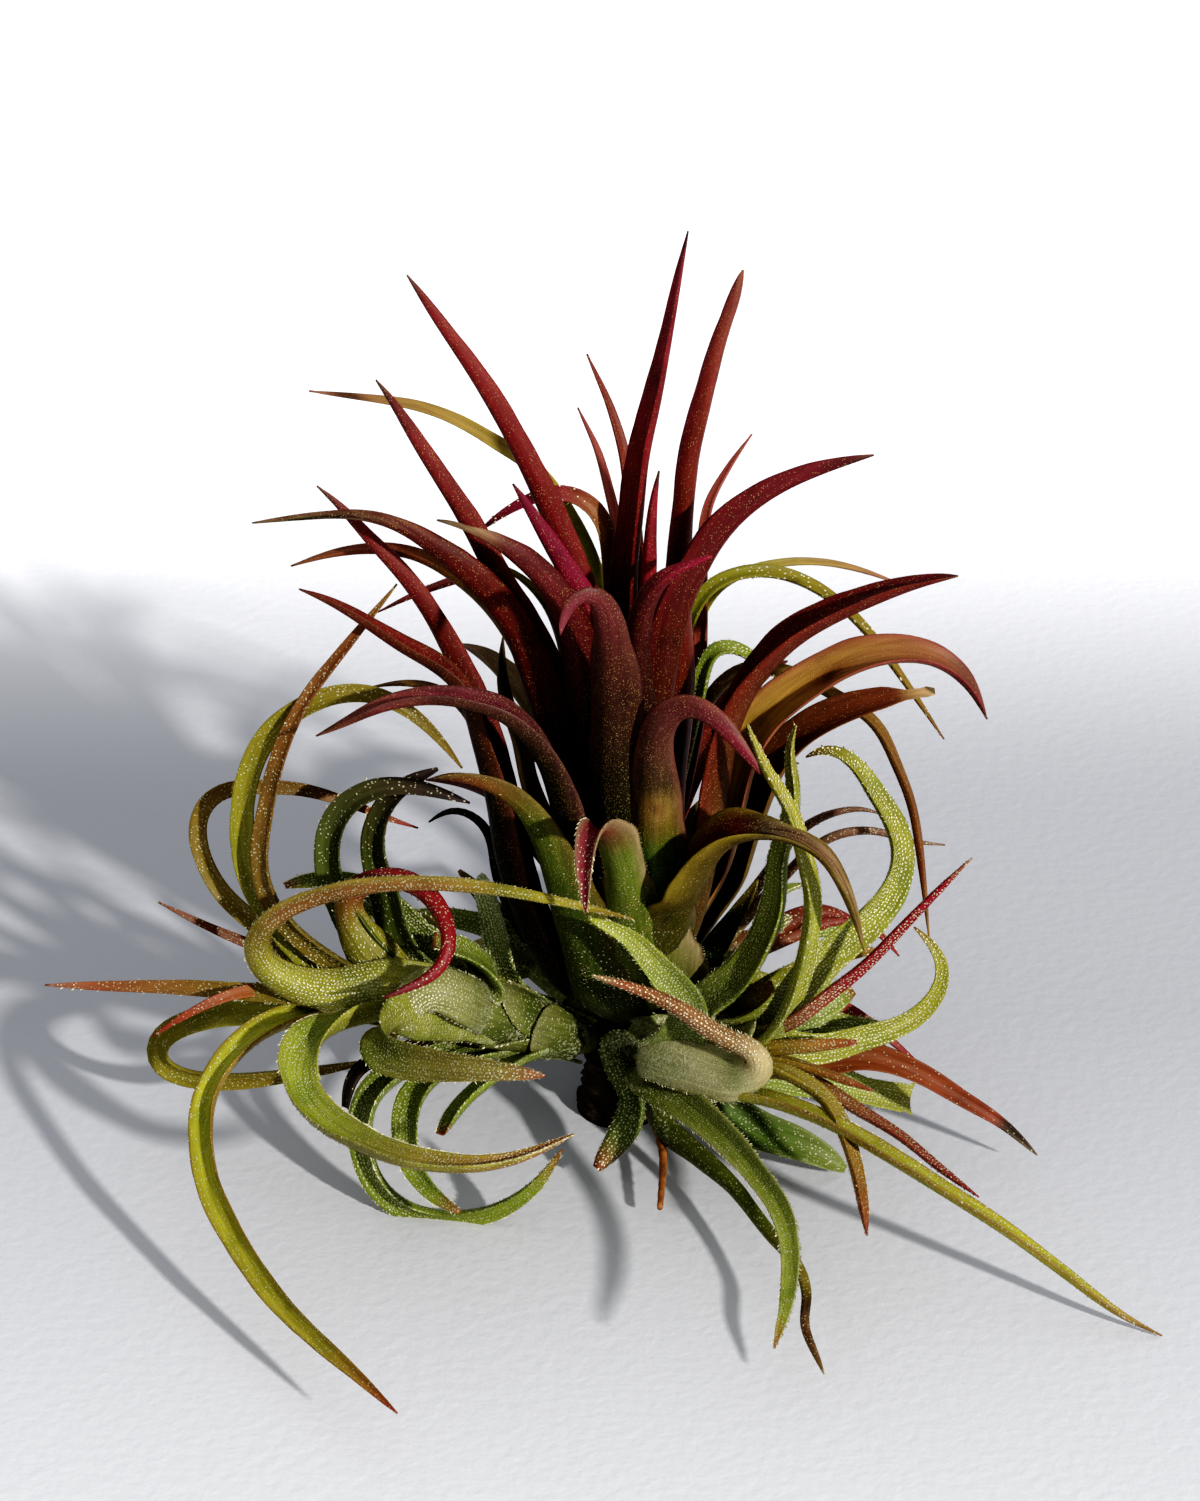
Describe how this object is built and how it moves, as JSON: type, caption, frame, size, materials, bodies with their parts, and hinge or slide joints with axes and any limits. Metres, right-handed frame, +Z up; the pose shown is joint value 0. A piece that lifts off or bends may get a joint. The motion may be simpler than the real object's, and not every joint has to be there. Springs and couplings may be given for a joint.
{
  "type": "air plant clump",
  "caption": "Small air plant: a tall tufted rosette of narrow channelled leaves, red above and green below, with scaly curling offsets round its foot and a bare woody crown.",
  "frame": {"origin": "on the ground under the middle of the woody crown's flat underside", "axes": "+Z up along the main rosette; -Y is the front, the side that the picture shows; +X is the picture's right"},
  "size_m": [0.0857, 0.081, 0.0776],
  "materials": {
    "crown_wood": "matte, dry, ringed with old leaf scars",
    "root_skin": "smooth, dry, orange-brown",
    "heart_leaf": "satin, olive and brown with fine pale scales",
    "red_leaf": "satin, crimson with fine pale scales",
    "maroon_leaf": "satin, dark maroon with fine pale scales",
    "orange_leaf": "satin, orange inner face and purple rim",
    "olive_leaf": "satin, olive going to brown-red",
    "green_leaf": "satin, green with white dots and a pale rim",
    "offset_leaf": "matte, yellow-green with dense white scales and a furry base"
  },
  "bodies": {
    "root": {"crown": "crown_wood", "dry_root": "root_skin", "main_heart": "heart_leaf", "main_tall_middle": "red_leaf", "main_short_inner": "red_leaf", "main_front_inner": "red_leaf", "main_tall_right": "orange_leaf", "main_right_high": "maroon_leaf", "main_short_magenta": "red_leaf", "main_tall_left": "maroon_leaf", "main_left_red": "red_leaf", "main_left_shrivelled": "maroon_leaf", "main_left_olive_thin": "olive_leaf", "main_left_dead_end": "maroon_leaf", "main_front_left_drooping": "maroon_leaf", "main_front_right_drooping": "maroon_leaf", "main_left_arch": "olive_leaf", "main_right_maroon": "maroon_leaf", "main_right_orange": "orange_leaf", "main_right_broken": "olive_leaf", "main_right_folded": "green_leaf", "main_left_slender": "red_leaf", "main_left_low_arch": "olive_leaf", "main_front_left_broad": "green_leaf", "main_front_folded": "green_leaf", "right_offset": "offset_leaf", "left_offset": "offset_leaf", "back_right_offset": "offset_leaf", "back_left_offset": "offset_leaf"}
  },
  "joints": []
}
